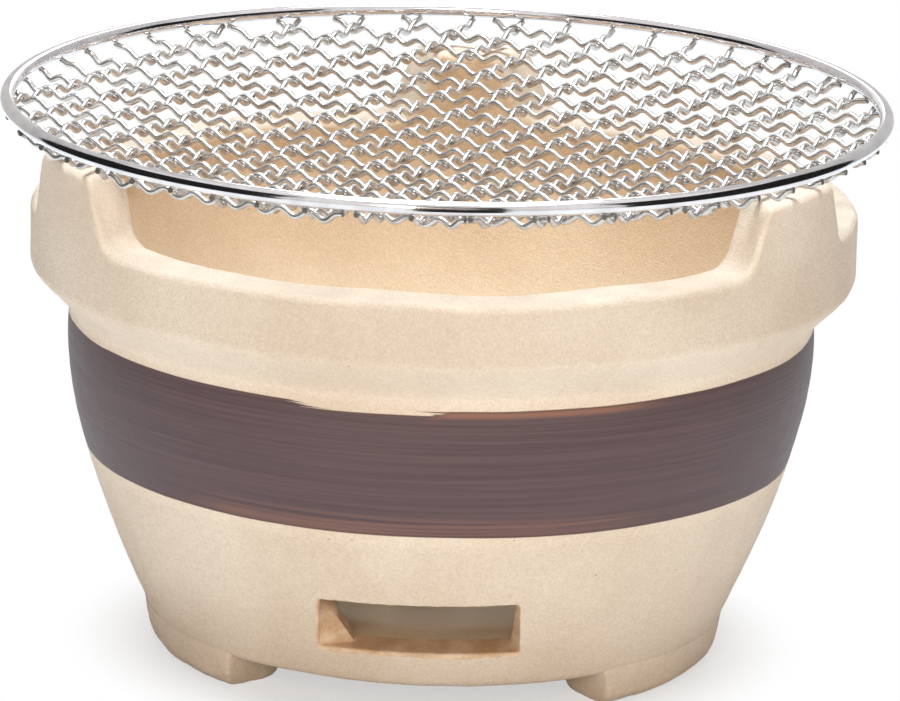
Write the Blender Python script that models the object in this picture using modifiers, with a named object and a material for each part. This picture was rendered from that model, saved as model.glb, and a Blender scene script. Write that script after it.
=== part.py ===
# Round clay charcoal grill with a loose woven cooking net.
# Metres, +Z up. The origin is on the ground under the middle of the grill.
# The air vent and one of the three rim notches face -Y.

import math

import bmesh
import bpy
from mathutils import Matrix, Vector

COLLECTION_NAME = "clay_charcoal_grill"
FIT_GAP = 0.0003

# Cooking net: a steel hoop over a square weave of crimped wires
HOOP_OUTER_DIAMETER = 0.240
HOOP_WIRE_DIAMETER = 0.0038
HOOP_CENTRE_HEIGHT = 0.150
NET_WIRE_DIAMETER = 0.0018
NET_CRIMP_HEIGHT = 0.0011
NET_PITCH = 0.0130
NET_SAG = 0.0061
NET_TURN = math.radians(-26.3)
WARP_OFFSET = 0.0040
WEFT_OFFSET = -0.0011
NET_WIRE_END_INSET = 0.0010
NET_END_STRAIGHT = 0.0005
NET_SIDE_CLEARANCE = 0.0025

# Feet
FOOT_HEIGHT = 0.0100
FOOT_HALF_ANGLE = math.radians(27.5)
FOOT_END_LEAN = math.radians(26.0)
FOOT_DEPTH = 0.0208
FOOT_TOE_ROUNDING = 0.0060
FOOT_HEEL_ROUNDING = 0.0030
FOOT_TAPER = 0.0032
FOOT_AZIMUTHS = {"foot_front_left": -64.5, "foot_front_right": 64.5, "foot_back": 180.0}

# Body, outer wall
COLLAR_RADIUS = 0.1114
COLLAR_BOTTOM = 0.1060
COLLAR_DROP = 0.0108
COLLAR_ROUNDING = 0.0040
COLLAR_COVE = 0.0050
WALL_TOP_RADIUS = 0.1004
BELLY_RADIUS = 0.1053
BELLY_HEIGHT = 0.0689
BASE_RADIUS = 0.0778
BASE_ROUNDING = 0.0040
BAND_TOP = 0.0921
BAND_BOTTOM = 0.0564

# Body, rim with three lobes that carry the net
MOUTH_RADIUS = 0.0965
LOBE_ROUNDING = 0.0030
NOTCH_FLOOR = 0.1230
RIM_TILT = math.radians(0.4)
FRONT_LOBE_AZIMUTH = math.radians(61.7)
LOBE_HALF_ANGLE = math.radians(12.6)
NOTCH_SIDE_TOE = math.radians(20.0)
NOTCH_SIDE_LEAN = math.radians(22.0)
NOTCH_CORNER_RADIUS = 0.0075

# Body, fire bowl, grate seat and ash chamber
BOWL_TOP = 0.1120
BOWL_SHOULDER_RADIUS = 0.0880
BOWL_SHOULDER_HEIGHT = 0.0760
SEAT_DEPTH = 0.0100
LEDGE_TOP = 0.0580
LEDGE_THICKNESS = 0.0100
LEDGE_WIDTH = 0.0095
ASH_CEILING_DROP = 0.0040
ASH_TOP_RADIUS = 0.0770
ASH_FLOOR_RADIUS = 0.0690
ASH_CORNER_RADIUS = 0.0050
FLOOR_THICKNESS = 0.0085

# Air vent, a flat slot through the lower wall, wider outside than inside
VENT_SILL_HEIGHT = 0.0206
VENT_HEIGHT = 0.0163
VENT_OUTER_WIDTH = 0.0534
VENT_INNER_WIDTH = 0.0460
VENT_SIDE_OFFSET = 0.0019
VENT_CORNER_RADIUS = 0.0015

# Fire grate, a loose clay plate with three rings of draught holes
GRATE_DIAMETER = 0.1170
GRATE_THICKNESS = 0.0100
GRATE_SEAT_CLEARANCE = 0.0010
GRATE_HOLE_DIAMETER = 0.0100
GRATE_RINGS = ((1, 0.0), (6, 0.0210), (12, 0.0410))

# Fineness of the round shapes
BODY_STEPS = 64
FILLET_STEPS = 2
LARGE_FILLET_STEPS = 3
BOWL_STEPS = 5
BAND_STEPS = 4
LOWER_WALL_STEPS = 3
HOOP_STEPS = 72
HOOP_SIDES = 8
GRATE_STEPS = 48
HOLE_STEPS = 10
SHARP_ANGLE = math.radians(35.0)
WELD_DISTANCE = 0.00001
DEGENERATE_LENGTH = 0.000001

# How far a cutter passes what it cuts, and how close a painted face lies to the outer wall
CUT_MARGIN = 0.0100
SKIN_TOLERANCE = 0.0010

# Worked out from the sizes above
HOOP_RADIUS = (HOOP_OUTER_DIAMETER - HOOP_WIRE_DIAMETER) / 2
NET_HALF_THICKNESS = NET_CRIMP_HEIGHT + NET_WIRE_DIAMETER / 2
NET_EDGE_HEIGHT = HOOP_CENTRE_HEIGHT - HOOP_WIRE_DIAMETER / 2 - FIT_GAP - NET_HALF_THICKNESS
BODY_BOTTOM = FOOT_HEIGHT
FOOT_INNER_RADIUS = BASE_RADIUS - FOOT_DEPTH
ASH_FLOOR = BODY_BOTTOM + FLOOR_THICKNESS
SEAT_RADIUS = GRATE_DIAMETER / 2 + GRATE_SEAT_CLEARANCE
LEDGE_RADIUS = SEAT_RADIUS - LEDGE_WIDTH
LEDGE_BOTTOM = LEDGE_TOP - LEDGE_THICKNESS
WALL_TOP = COLLAR_BOTTOM - COLLAR_DROP
BASE_FILLET_TOP = BODY_BOTTOM + 2 * BASE_ROUNDING


def start_clean():
    """Remove whatever the scene holds and make the two collections."""
    for old in list(bpy.data.objects):
        bpy.data.objects.remove(old)
    made = []
    for name in (COLLECTION_NAME, "cutters"):
        collection = bpy.data.collections.new(name)
        bpy.context.scene.collection.children.link(collection)
        made.append(collection)
    return made


PARTS, CUTTERS = start_clean()


def make_material(name, colour, roughness, metallic=0.0):
    """A Principled material in one colour."""
    material = bpy.data.materials.new(name)
    material.use_nodes = True
    shader = material.node_tree.nodes["Principled BSDF"]
    shader.inputs["Base Color"].default_value = (*colour, 1.0)
    shader.inputs["Roughness"].default_value = roughness
    shader.inputs["Metallic"].default_value = metallic
    material.diffuse_color = (*colour, 1.0)
    return material


CLAY = make_material("pale_fired_clay", (0.82, 0.68, 0.55), 0.9)
SLIP = make_material("brown_slip_band", (0.14, 0.098, 0.095), 0.6)
GRATE_CLAY = make_material("grate_clay", (0.74, 0.56, 0.42), 0.92)
HOOP_STEEL = make_material("bright_hoop_steel", (0.80, 0.80, 0.80), 0.12, 1.0)
WIRE_STEEL = make_material("net_wire_steel", (0.74, 0.73, 0.72), 0.25, 1.0)


def link(obj, collection):
    """Keep an object in one collection only."""
    for old in list(obj.users_collection):
        old.objects.unlink(obj)
    collection.objects.link(obj)


def make_part(name, mesh, material):
    """A named sub-part from a mesh."""
    obj = bpy.data.objects.new(name, mesh)
    PARTS.objects.link(obj)
    mesh.materials.clear()
    mesh.materials.append(material)
    return obj


def make_cutter(obj):
    """Put an object among the cutters and show it as wire."""
    link(obj, CUTTERS)
    obj.hide_render = True
    obj.display_type = "WIRE"
    return obj


def mesh_from_bmesh(bm, name):
    """Close a bmesh into a new mesh."""
    mesh = bpy.data.meshes.new(name)
    bm.to_mesh(mesh)
    bm.free()
    return mesh


def object_from_bmesh(bm, name):
    """Close a bmesh into a new object that is in no collection yet."""
    return bpy.data.objects.new(name, mesh_from_bmesh(bm, name))


def evaluated_mesh(obj):
    """The object's mesh with its modifiers applied; the object is removed."""
    depsgraph = bpy.context.evaluated_depsgraph_get()
    mesh = bpy.data.meshes.new_from_object(obj.evaluated_get(depsgraph))
    mesh.transform(obj.matrix_world)
    bpy.data.objects.remove(obj)
    return mesh


def weld(mesh):
    """Join the points that lie on each other."""
    bm = bmesh.new()
    bm.from_mesh(mesh)
    bmesh.ops.remove_doubles(bm, verts=bm.verts, dist=WELD_DISTANCE)
    bmesh.ops.dissolve_degenerate(bm, edges=bm.edges, dist=DEGENERATE_LENGTH)
    bm.to_mesh(mesh)
    bm.free()


def shade_round(mesh):
    """Smooth shading with the real corners kept sharp."""
    mesh.shade_smooth()
    mesh.set_sharp_from_angle(angle=SHARP_ANGLE)


def difference(obj, cutter):
    """Cut one object by another."""
    modifier = obj.modifiers.new("cut_" + cutter.name, "BOOLEAN")
    modifier.operation = "DIFFERENCE"
    modifier.solver = "EXACT"
    modifier.object = cutter


def rounded(corners):
    """Points along (radius, height, fillet radius, steps) corners, with arcs at the fillets."""
    points = []
    for i, (x, z, fillet, steps) in enumerate(corners):
        corner = Vector((x, z))
        if fillet == 0:
            points.append(corner)
            continue
        before = (Vector(corners[i - 1][:2]) - corner).normalized()
        after = (Vector(corners[i + 1][:2]) - corner).normalized()
        half = before.angle(after) / 2
        centre = corner + (before + after).normalized() * (fillet / math.sin(half))
        start = corner + before * (fillet / math.tan(half)) - centre
        sweep = math.pi - 2 * half
        turn = math.copysign(1.0, before.x * after.y - before.y * after.x)
        for step in range(steps + 1):
            angle = -turn * sweep * step / steps
            points.append(centre + Matrix.Rotation(angle, 2) @ start)
    return points


def bezier(start, control, end, t):
    """A point of a quadratic curve."""
    return start * (1 - t) ** 2 + control * (2 * t * (1 - t)) + end * t ** 2


def outer_wall_radius(height):
    """Radius of the wall below the collar, where its quadratic curve passes a height."""
    drop = WALL_TOP - height
    fall = 2 * (WALL_TOP - BELLY_HEIGHT)
    bend = WALL_TOP - 2 * BELLY_HEIGHT + BODY_BOTTOM
    t = 2 * drop / (fall + math.sqrt(fall * fall - 4 * bend * drop))
    return bezier(WALL_TOP_RADIUS, BELLY_RADIUS, BASE_RADIUS, t)


def wall_points(top, bottom, steps):
    """Points down the outer wall, from below the first height to the second."""
    heights = [top + (bottom - top) * step / steps for step in range(1, steps + 1)]
    return [Vector((outer_wall_radius(height), height)) for height in heights]


def net_surface(radius):
    """Height of the net's middle surface at a distance from its centre."""
    share = min(radius / HOOP_RADIUS, 1.0)
    return NET_EDGE_HEIGHT - NET_SAG * (1 - share * share)


# The net rests on the lobes at the mouth, where it hangs lowest over them
RIM_TOP = net_surface(MOUTH_RADIUS) - NET_HALF_THICKNESS - FIT_GAP


def body_outline():
    """Half section: from the ash floor up the inside, over the rim and down the outside."""
    inside = rounded([
        (0.0, ASH_FLOOR, 0, 0),
        (ASH_FLOOR_RADIUS, ASH_FLOOR, ASH_CORNER_RADIUS, FILLET_STEPS),
        (ASH_TOP_RADIUS, LEDGE_BOTTOM - ASH_CEILING_DROP, ASH_CORNER_RADIUS, FILLET_STEPS),
        (LEDGE_RADIUS, LEDGE_BOTTOM, 0, 0),
        (LEDGE_RADIUS, LEDGE_TOP, 0, 0),
        (SEAT_RADIUS, LEDGE_TOP, 0, 0),
    ])
    bowl_low = Vector((SEAT_RADIUS, LEDGE_TOP + SEAT_DEPTH))
    bowl_mid = Vector((BOWL_SHOULDER_RADIUS, BOWL_SHOULDER_HEIGHT))
    bowl_high = Vector((MOUTH_RADIUS, BOWL_TOP))
    bowl = [bezier(bowl_low, bowl_mid, bowl_high, step / BOWL_STEPS) for step in range(BOWL_STEPS + 1)]
    rim = rounded([
        (MOUTH_RADIUS, BOWL_TOP, 0, 0),
        (MOUTH_RADIUS, RIM_TOP, LOBE_ROUNDING, FILLET_STEPS),
        (COLLAR_RADIUS, RIM_TOP, LOBE_ROUNDING, FILLET_STEPS),
        (COLLAR_RADIUS, COLLAR_BOTTOM, COLLAR_ROUNDING, LARGE_FILLET_STEPS),
        (outer_wall_radius(WALL_TOP), WALL_TOP, COLLAR_COVE, FILLET_STEPS),
        (outer_wall_radius(BAND_TOP), BAND_TOP, 0, 0),
    ])[1:]
    band = wall_points(BAND_TOP, BAND_BOTTOM, BAND_STEPS)
    lower_wall = wall_points(BAND_BOTTOM, BASE_FILLET_TOP, LOWER_WALL_STEPS)
    base = rounded([
        (outer_wall_radius(BASE_FILLET_TOP), BASE_FILLET_TOP, 0, 0),
        (outer_wall_radius(BODY_BOTTOM), BODY_BOTTOM, BASE_ROUNDING, LARGE_FILLET_STEPS),
        (0.0, BODY_BOTTOM, 0, 0),
    ])[1:]
    return inside + bowl + rim + band + lower_wall + base


def turned(name, outline, closed=False):
    """Mesh of an outline turned about Z."""
    bm = bmesh.new()
    verts = [bm.verts.new((point.x, 0.0, point.y)) for point in outline]
    for first, second in zip(verts, verts[1:]):
        bm.edges.new((first, second))
    if closed:
        bm.edges.new((verts[-1], verts[0]))
    obj = object_from_bmesh(bm, name)
    CUTTERS.objects.link(obj)
    screw = obj.modifiers.new("turn", "SCREW")
    screw.axis = "Z"
    screw.angle = math.tau
    screw.steps = BODY_STEPS
    screw.render_steps = BODY_STEPS
    screw.use_merge_vertices = True
    screw.merge_threshold = WELD_DISTANCE
    screw.use_normal_calculate = False
    mesh = evaluated_mesh(obj)
    weld(mesh)
    return mesh


def notch_cutter(name, azimuth, half_angle, frame):
    """A tapered block that cuts one notch between two lobes; its underside is the notch floor."""
    side_angle = half_angle - NOTCH_SIDE_TOE
    corner_x = COLLAR_RADIUS * math.sin(half_angle)
    corner_y = -COLLAR_RADIUS * math.cos(half_angle)
    near = -(COLLAR_RADIUS + CUT_MARGIN)
    far = -MOUTH_RADIUS * math.cos(FRONT_LOBE_AZIMUTH)
    height = RIM_TOP - NOTCH_FLOOR + CUT_MARGIN
    lean = math.tan(NOTCH_SIDE_LEAN) / math.cos(side_angle)
    bm = bmesh.new()
    bmesh.ops.create_cube(bm, size=2.0)
    for vert in bm.verts:
        y = near if vert.co.y < 0 else far
        z = height if vert.co.z > 0 else 0.0
        half_width = corner_x + (corner_y - y) * math.tan(side_angle) + z * lean
        vert.co = (math.copysign(half_width, vert.co.x), y, z)
    cutter = make_cutter(object_from_bmesh(bm, name))
    cutter.rotation_euler.z = azimuth
    cutter.parent = frame
    bevel = cutter.modifiers.new("corners", "BEVEL")
    bevel.width = NOTCH_CORNER_RADIUS
    bevel.segments = LARGE_FILLET_STEPS
    bevel.limit_method = "ANGLE"
    return cutter


def vent_cutter():
    """The vent's opening, wider outside than inside."""
    bm = bmesh.new()
    bmesh.ops.create_cube(bm, size=2.0)
    outer = -outer_wall_radius(VENT_SILL_HEIGHT + VENT_HEIGHT)
    inner = -ASH_FLOOR_RADIUS
    flare = (VENT_OUTER_WIDTH - VENT_INNER_WIDTH) / 2 / (inner - outer)
    for vert in bm.verts:
        y = outer - CUT_MARGIN if vert.co.y < 0 else inner + CUT_MARGIN
        z = VENT_SILL_HEIGHT + (VENT_HEIGHT if vert.co.z > 0 else 0.0)
        half_width = VENT_OUTER_WIDTH / 2 + (outer - y) * flare
        vert.co = (math.copysign(half_width, vert.co.x), y, z)
    cutter = make_cutter(object_from_bmesh(bm, "vent_cutter"))
    cutter.location.x = VENT_SIDE_OFFSET
    bevel = cutter.modifiers.new("corners", "BEVEL")
    bevel.width = VENT_CORNER_RADIUS
    bevel.segments = 1
    return cutter


def paint_band(mesh):
    """Give the outer wall between the band's edges its second material."""
    mesh.materials.append(SLIP)
    middle = (BAND_TOP + BAND_BOTTOM) / 2
    for face in mesh.polygons:
        distance = math.hypot(face.center.x, face.center.y)
        in_height = abs(face.center.z - middle) < (BAND_TOP - BAND_BOTTOM) / 2
        if in_height and distance > outer_wall_radius(face.center.z) - SKIN_TOLERANCE:
            face.material_index = 1


def make_body():
    """The fired clay body in one piece."""
    mesh = turned("clay_body", body_outline())
    body = make_part("clay_body", mesh, CLAY)
    paint_band(mesh)
    shade_round(mesh)
    frame = bpy.data.objects.new("notch_frame", None)
    CUTTERS.objects.link(frame)
    frame.location.z = NOTCH_FLOOR
    frame.rotation_euler.y = -RIM_TILT
    front_half = FRONT_LOBE_AZIMUTH - LOBE_HALF_ANGLE
    side_azimuth = (FRONT_LOBE_AZIMUTH + math.pi) / 2
    side_half = (math.pi - FRONT_LOBE_AZIMUTH) / 2 - LOBE_HALF_ANGLE
    difference(body, notch_cutter("notch_cutter_front", 0.0, front_half, frame))
    difference(body, notch_cutter("notch_cutter_right", side_azimuth, side_half, frame))
    difference(body, notch_cutter("notch_cutter_left", -side_azimuth, side_half, frame))
    difference(body, vent_cutter())


def foot_outline():
    """Half section of the ring that the feet are cut from."""
    top = FOOT_HEIGHT - FIT_GAP
    outer = outer_wall_radius(BODY_BOTTOM)
    corners = [
        (outer, top, 0, 0),
        (outer - FOOT_TAPER, 0.0, FOOT_TOE_ROUNDING, LARGE_FILLET_STEPS),
        (FOOT_INNER_RADIUS, 0.0, FOOT_HEEL_ROUNDING, FILLET_STEPS),
        (FOOT_INNER_RADIUS, top, 0, 0),
    ]
    return rounded(corners)


def make_foot(name, azimuth):
    """One foot: the part of the foot ring inside a wedge, whose ends lean in towards the ground."""
    mesh = turned(name, foot_outline(), closed=True)
    foot = make_part(name, mesh, CLAY)
    shade_round(mesh)
    bm = bmesh.new()
    bmesh.ops.create_cube(bm, size=2.0)
    for vert in bm.verts:
        distance = BASE_RADIUS + CUT_MARGIN if vert.co.y < 0 else FOOT_INNER_RADIUS - CUT_MARGIN
        z = FOOT_HEIGHT + CUT_MARGIN if vert.co.z > 0 else -CUT_MARGIN
        half_width = distance * math.tan(FOOT_HALF_ANGLE) + (z - FOOT_HEIGHT) * math.tan(FOOT_END_LEAN)
        vert.co = (math.copysign(half_width, vert.co.x), -distance, z)
    keeper = make_cutter(object_from_bmesh(bm, name + "_wedge"))
    keeper.rotation_euler.z = azimuth
    modifier = foot.modifiers.new("keep_" + name, "BOOLEAN")
    modifier.operation = "INTERSECT"
    modifier.solver = "EXACT"
    modifier.object = keeper


def make_grate():
    """The loose fire grate on its ledge."""
    bm = bmesh.new()
    radius = GRATE_DIAMETER / 2
    bmesh.ops.create_cone(bm, cap_ends=True, segments=GRATE_STEPS, radius1=radius, radius2=radius,
                          depth=GRATE_THICKNESS)
    grate = make_part("fire_grate", mesh_from_bmesh(bm, "fire_grate"), GRATE_CLAY)
    shade_round(grate.data)
    grate.location.z = LEDGE_TOP + FIT_GAP + GRATE_THICKNESS / 2
    holes = bmesh.new()
    hole = GRATE_HOLE_DIAMETER / 2
    hole_depth = GRATE_THICKNESS + 2 * CUT_MARGIN
    for count, ring_radius in GRATE_RINGS:
        for i in range(count):
            angle = math.tau * i / count
            place = Matrix.Translation((ring_radius * math.cos(angle), ring_radius * math.sin(angle), 0))
            bmesh.ops.create_cone(holes, cap_ends=True, segments=HOLE_STEPS, radius1=hole, radius2=hole,
                                  depth=hole_depth, matrix=place)
    cutter = make_cutter(object_from_bmesh(holes, "grate_hole_cutter"))
    cutter.parent = grate
    difference(grate, cutter)


def make_hoop():
    """The hoop that holds the net's wires."""
    bpy.ops.mesh.primitive_torus_add(
        major_radius=HOOP_RADIUS, minor_radius=HOOP_WIRE_DIAMETER / 2, major_segments=HOOP_STEPS,
        minor_segments=HOOP_SIDES, location=(0, 0, HOOP_CENTRE_HEIGHT))
    hoop = bpy.context.object
    hoop.name = "net_rim"
    link(hoop, PARTS)
    hoop.data.materials.append(HOOP_STEEL)
    hoop.data.shade_smooth()


def wire_places(offset):
    """Distances of one family's wires from the net's centre, with their counts from it."""
    limit = HOOP_RADIUS - HOOP_WIRE_DIAMETER / 2 - NET_SIDE_CLEARANCE
    count = math.ceil(limit / NET_PITCH) + 1
    places = [(i, offset + i * NET_PITCH) for i in range(-count, count + 1)]
    return [(i, place) for i, place in places if abs(place) < limit]


def crimp(along, index, crossing_offset, rises_when_odd):
    """Height of a wire's zigzag over the net's middle surface: up and down at the crossings."""
    crossing = (along - crossing_offset) / NET_PITCH
    before = math.floor(crossing)
    first_is_odd = (index + before) % 2 == 1
    side = 1 if first_is_odd == rises_when_odd else -1
    return side * NET_CRIMP_HEIGHT * (1 - 2 * (crossing - before))


def wire_points(index, place, crossing_offset, rises_when_odd):
    """Points of one crimped wire along its own direction: (along, across, height)."""
    reach = math.sqrt((HOOP_OUTER_DIAMETER / 2 - NET_WIRE_END_INSET) ** 2 - place ** 2)
    last_bend = reach - NET_END_STRAIGHT
    first = math.ceil((-last_bend - crossing_offset) / NET_PITCH)
    last = math.floor((last_bend - crossing_offset) / NET_PITCH)
    stations = [crossing_offset + i * NET_PITCH for i in range(first, last + 1)]
    points = []
    for along in [-reach] + stations + [reach]:
        height = net_surface(math.hypot(along, place))
        points.append((along, place, height + crimp(along, index, crossing_offset, rises_when_odd)))
    return points


def make_wire(name, points, turn):
    """A crimped wire as a curve."""
    curve = bpy.data.curves.new(name, "CURVE")
    curve.dimensions = "3D"
    curve.bevel_depth = NET_WIRE_DIAMETER / 2
    curve.bevel_resolution = 0
    curve.use_fill_caps = True
    curve.materials.append(WIRE_STEEL)
    spline = curve.splines.new("POLY")
    spline.points.add(len(points) - 1)
    for target, point in zip(spline.points, points):
        place = Matrix.Rotation(turn, 3, "Z") @ Vector(point)
        target.co = (*place, 1.0)
    PARTS.objects.link(bpy.data.objects.new(name, curve))


def make_net_wires():
    """Warp wires run along the net's turn, weft wires across it."""
    for number, (i, place) in enumerate(wire_places(WARP_OFFSET), 1):
        points = wire_points(i, place, WEFT_OFFSET, True)
        make_wire(f"net_warp_wire_{number:02d}", points, NET_TURN)
    for number, (i, place) in enumerate(wire_places(-WEFT_OFFSET), 1):
        points = wire_points(i, place, WARP_OFFSET, False)
        make_wire(f"net_weft_wire_{number:02d}", points, NET_TURN + math.pi / 2)


make_body()
for foot_name, foot_azimuth in FOOT_AZIMUTHS.items():
    make_foot(foot_name, math.radians(foot_azimuth))
make_grate()
make_hoop()
make_net_wires()
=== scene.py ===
# Looks of a round clay charcoal grill with a loose woven cooking net.
# Metres, +Z up. The air vent and the front rim notch face -Y, and an azimuth is 0 there, growing to +X.

import math

import bmesh
import bpy
import numpy as np
from mathutils import Matrix, Quaternion, Vector, noise


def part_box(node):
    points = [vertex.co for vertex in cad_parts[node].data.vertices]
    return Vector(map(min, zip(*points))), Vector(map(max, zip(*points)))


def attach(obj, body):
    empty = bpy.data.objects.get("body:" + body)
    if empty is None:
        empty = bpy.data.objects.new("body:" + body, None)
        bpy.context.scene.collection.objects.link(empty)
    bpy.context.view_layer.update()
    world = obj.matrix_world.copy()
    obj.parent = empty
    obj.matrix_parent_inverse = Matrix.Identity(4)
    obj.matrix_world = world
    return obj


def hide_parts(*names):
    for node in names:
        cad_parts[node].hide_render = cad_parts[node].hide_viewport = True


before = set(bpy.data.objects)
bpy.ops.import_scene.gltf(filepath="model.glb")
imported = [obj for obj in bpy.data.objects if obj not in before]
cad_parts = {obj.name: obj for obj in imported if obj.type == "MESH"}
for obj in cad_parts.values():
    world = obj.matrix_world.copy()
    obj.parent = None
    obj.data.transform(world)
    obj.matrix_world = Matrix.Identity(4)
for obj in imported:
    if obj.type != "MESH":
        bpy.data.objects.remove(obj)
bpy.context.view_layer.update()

# Sizes read from the frame
BODY_LOW, BODY_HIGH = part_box("clay_body")
GRATE_LOW, GRATE_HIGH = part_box("fire_grate")
HOOP_LOW, HOOP_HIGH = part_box("net_rim")
COLLAR_RADIUS = BODY_HIGH.x
RIM_TOP = BODY_HIGH.z
BODY_BOTTOM = BODY_LOW.z
GRATE_RADIUS = GRATE_HIGH.x
GRATE_THICKNESS = GRATE_HIGH.z - GRATE_LOW.z
HOOP_WIRE_RADIUS = (HOOP_HIGH.z - HOOP_LOW.z) / 2
HOOP_RADIUS = HOOP_HIGH.x - HOOP_WIRE_RADIUS
HOOP_HEIGHT = (HOOP_HIGH.z + HOOP_LOW.z) / 2

# Gap between the feet's solids and the body's underside
FIT_GAP = 0.0003

# Body, outer wall
COLLAR_BOTTOM = 0.1060
COLLAR_ROUNDING = 0.0040
COLLAR_COVE = 0.0060
WALL_TOP = 0.0952
WALL_TOP_RADIUS = 0.1004
BELLY_RADIUS = 0.1053
BELLY_HEIGHT = 0.0689
BASE_RADIUS = 0.0778
BASE_ROUNDING = 0.0040
BAND_TOP = 0.0921
BAND_BOTTOM = 0.0564

# Brush strokes of the band: azimuths of their ends, how far a tip and its bristles spread, how much
# higher a stroke reaches than the rest, where the thin slip of the front ends and over what angle it fades
FIRST_STROKE_END = math.radians(-14.5)
SECOND_STROKE_START = math.radians(0.9)
STROKE_TIP = math.radians(5.0)
BRISTLE_SPREAD = math.radians(15.0)
STROKE_STEP = 0.0014
THIN_END = math.radians(42.0)
THIN_FADE = math.radians(14.0)

# Edges of the band: how far they waver and fray, over what depths the slip comes to cover the clay and
# its redder edge and thin parts fade, and how far past the edges the faces have the band's material
TOP_WAVER = 0.0012
TOP_WAVER_DROP = 0.0004
BOTTOM_WAVER = 0.0014
BOTTOM_WAVER_DROP = 0.0007
EDGE_FRAY = 0.0003
EDGE_WIDTH = 0.0003
EDGE_TONE = (0.0004, 0.0009)
TOP_THINNING = (0.0012, 0.0028)
LOW_THINNING = (0.0030, 0.0070)
BAND_MARGIN = 0.0030

# Body, rim
MOUTH_RADIUS = 0.0965
MOUTH_ROUNDING = 0.0022
OUTER_ROUNDING = 0.0020
LOBE_ROUNDING = 0.0016
NOTCH_FLOOR = 0.1230
RIM_TILT = math.radians(0.4)
FRONT_LOBE_AZIMUTH = math.radians(61.7)
LOBE_HALF_ANGLE = math.radians(12.6)
NOTCH_SIDE_TOE = math.radians(20.0)
NOTCH_SIDE_RISE = math.radians(68.0)
NOTCH_CORNER_RADIUS = 0.0075
EDGE_SPREAD = 0.45
FLOOR_DIP = 0.0010
FLOOR_DIP_AZIMUTH = math.radians(12.0)
FLOOR_DIP_SPREAD = math.radians(13.0)

# Ripples of the rim: height, number of waves around and phase
RIM_RIPPLES = ((0.00022, 5, 0.7), (0.00012, 13, 2.1))

# Body, inside
BOWL_TOP = 0.1120
BOWL_SHOULDER_RADIUS = 0.0880
BOWL_SHOULDER_HEIGHT = 0.0760
SEAT_TOP = 0.0680
SEAT_RADIUS = 0.0595
LEDGE_TOP = 0.0580
LEDGE_BOTTOM = 0.0480
LEDGE_RADIUS = 0.0500
ASH_CEILING_EDGE = 0.0440
ASH_TOP_RADIUS = 0.0770
ASH_FLOOR_RADIUS = 0.0690
ASH_FLOOR = 0.0185
ASH_CORNER_RADIUS = 0.0050
INNER_EDGE_ROUNDING = 0.0012

# Air vent: corners (x, z) of the outer and the inner opening, from the lower left, anticlockwise
VENT_OUTER = ((-0.0248, 0.0206), (0.0277, 0.0210), (0.0277, 0.0359), (-0.0248, 0.0352))
VENT_INNER = ((-0.0160, 0.0206), (0.0250, 0.0208), (0.0270, 0.0366), (-0.0262, 0.0366))
VENT_CORNER_RADIUS = 0.0009
VENT_LIP_LEFT = 0.0009
VENT_LIP_RIGHT = 0.0007
VENT_LIP_BOTTOM = 0.0016
VENT_LIP_TOP = 0.0004
VENT_LIP_DEPTH = 0.0012
VENT_TAPER_DEPTH = 0.0075
VENT_DEPTH = 0.0300
VENT_CRUMBLE = 0.00018
CRUMBLE_SCALE = 420

# Rings of the vent's cutter outside the wall: share of the taper, growth of the lip, depth
VENT_OUTSIDE_RINGS = ((0.0, 1.3, -0.0060), (0.0, 1.05, -0.0004))

# Cooking net
NET_WIRE_RADIUS = 0.00082
NET_CRIMP_HEIGHT = 0.00098
NET_EDGE_DROP = 0.0041
NET_PITCH = 0.01303
NET_SAG = 0.0072
NET_TURN = math.radians(-26.25)
WARP_OFFSET = 0.0042
WEFT_OFFSET = -0.0007
NET_END_RISE_LENGTH = 0.0045
NET_WIRE_END_INSET = 0.0016
NET_SIDE_CLEARANCE = 0.0044
CRIMPS_PER_PITCH = 3

# Feet: the clay is smoothed up over the base, the toe is full and the front end is trimmed
FOOT_LUTE_HEIGHT = 0.0024
FOOT_LUTE_PROUD = 0.0001
FOOT_TOE_WIDTH = 0.0100
FOOT_TOE_FULLNESS = 0.0020
FOOT_HALF_ANGLE = math.radians(27.5)
FOOT_FRONT_TRIM = math.radians(2.4)

# Fire grate
GRATE_HOLE_RADIUS = 0.0050
GRATE_RINGS = ((1, 0.0), (6, 0.0210), (12, 0.0410))

# Unevenness of the hand-made clay: scale of the noise and height
BODY_UNEVENNESS = ((42.0, 0.00028), (260.0, 0.00009))
FOOT_UNEVENNESS = ((110.0, 0.00035), (420.0, 0.00012))
GRATE_UNEVENNESS = ((90.0, 0.00020),)

# Fineness: steps of azimuth, how far the finer ones reach, and the counts and sizes of the meshes' parts
COARSE_STEP = math.radians(0.9)
VENT_STEP = math.radians(0.5)
VENT_SPAN = math.radians(20.0)
FINE_STEP = math.radians(0.25)
FINE_SPAN = math.radians(7.5)
VENT_ARC_STEPS = 4
VENT_LONG_SIDE_POINTS = 56
VENT_SHORT_SIDE_POINTS = 18
VENT_LIP_STEPS = 4
VENT_TAPER_STEPS = 6
FOOT_VOXEL = 0.0008
FOOT_SMOOTHING = 12
GRATE_VOXEL = 0.0009
GRATE_SMOOTHING = 4
GRATE_SEGMENTS = 128
HOLE_SEGMENTS = 28
HOOP_SEGMENTS = 256
HOOP_SIDES = 20
WIRE_SIDES = 10
WIRE_STEPS_PER_PITCH = 18
WIRE_SHARP_ANGLE = math.radians(60.0)
LONGEST_EDGE = 0.0022
FLAT_EDGE = 0.0045
FILLET_STEPS = 5
MOUTH_WALL_ROWS = 9
RIM_TOP_ROWS = 8
COLLAR_ROWS = 10
WALL_STEPS = 46
BOWL_STEPS = 30
WELD_DISTANCE = 0.00001
SHARP_ANGLE = math.radians(40.0)

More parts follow.
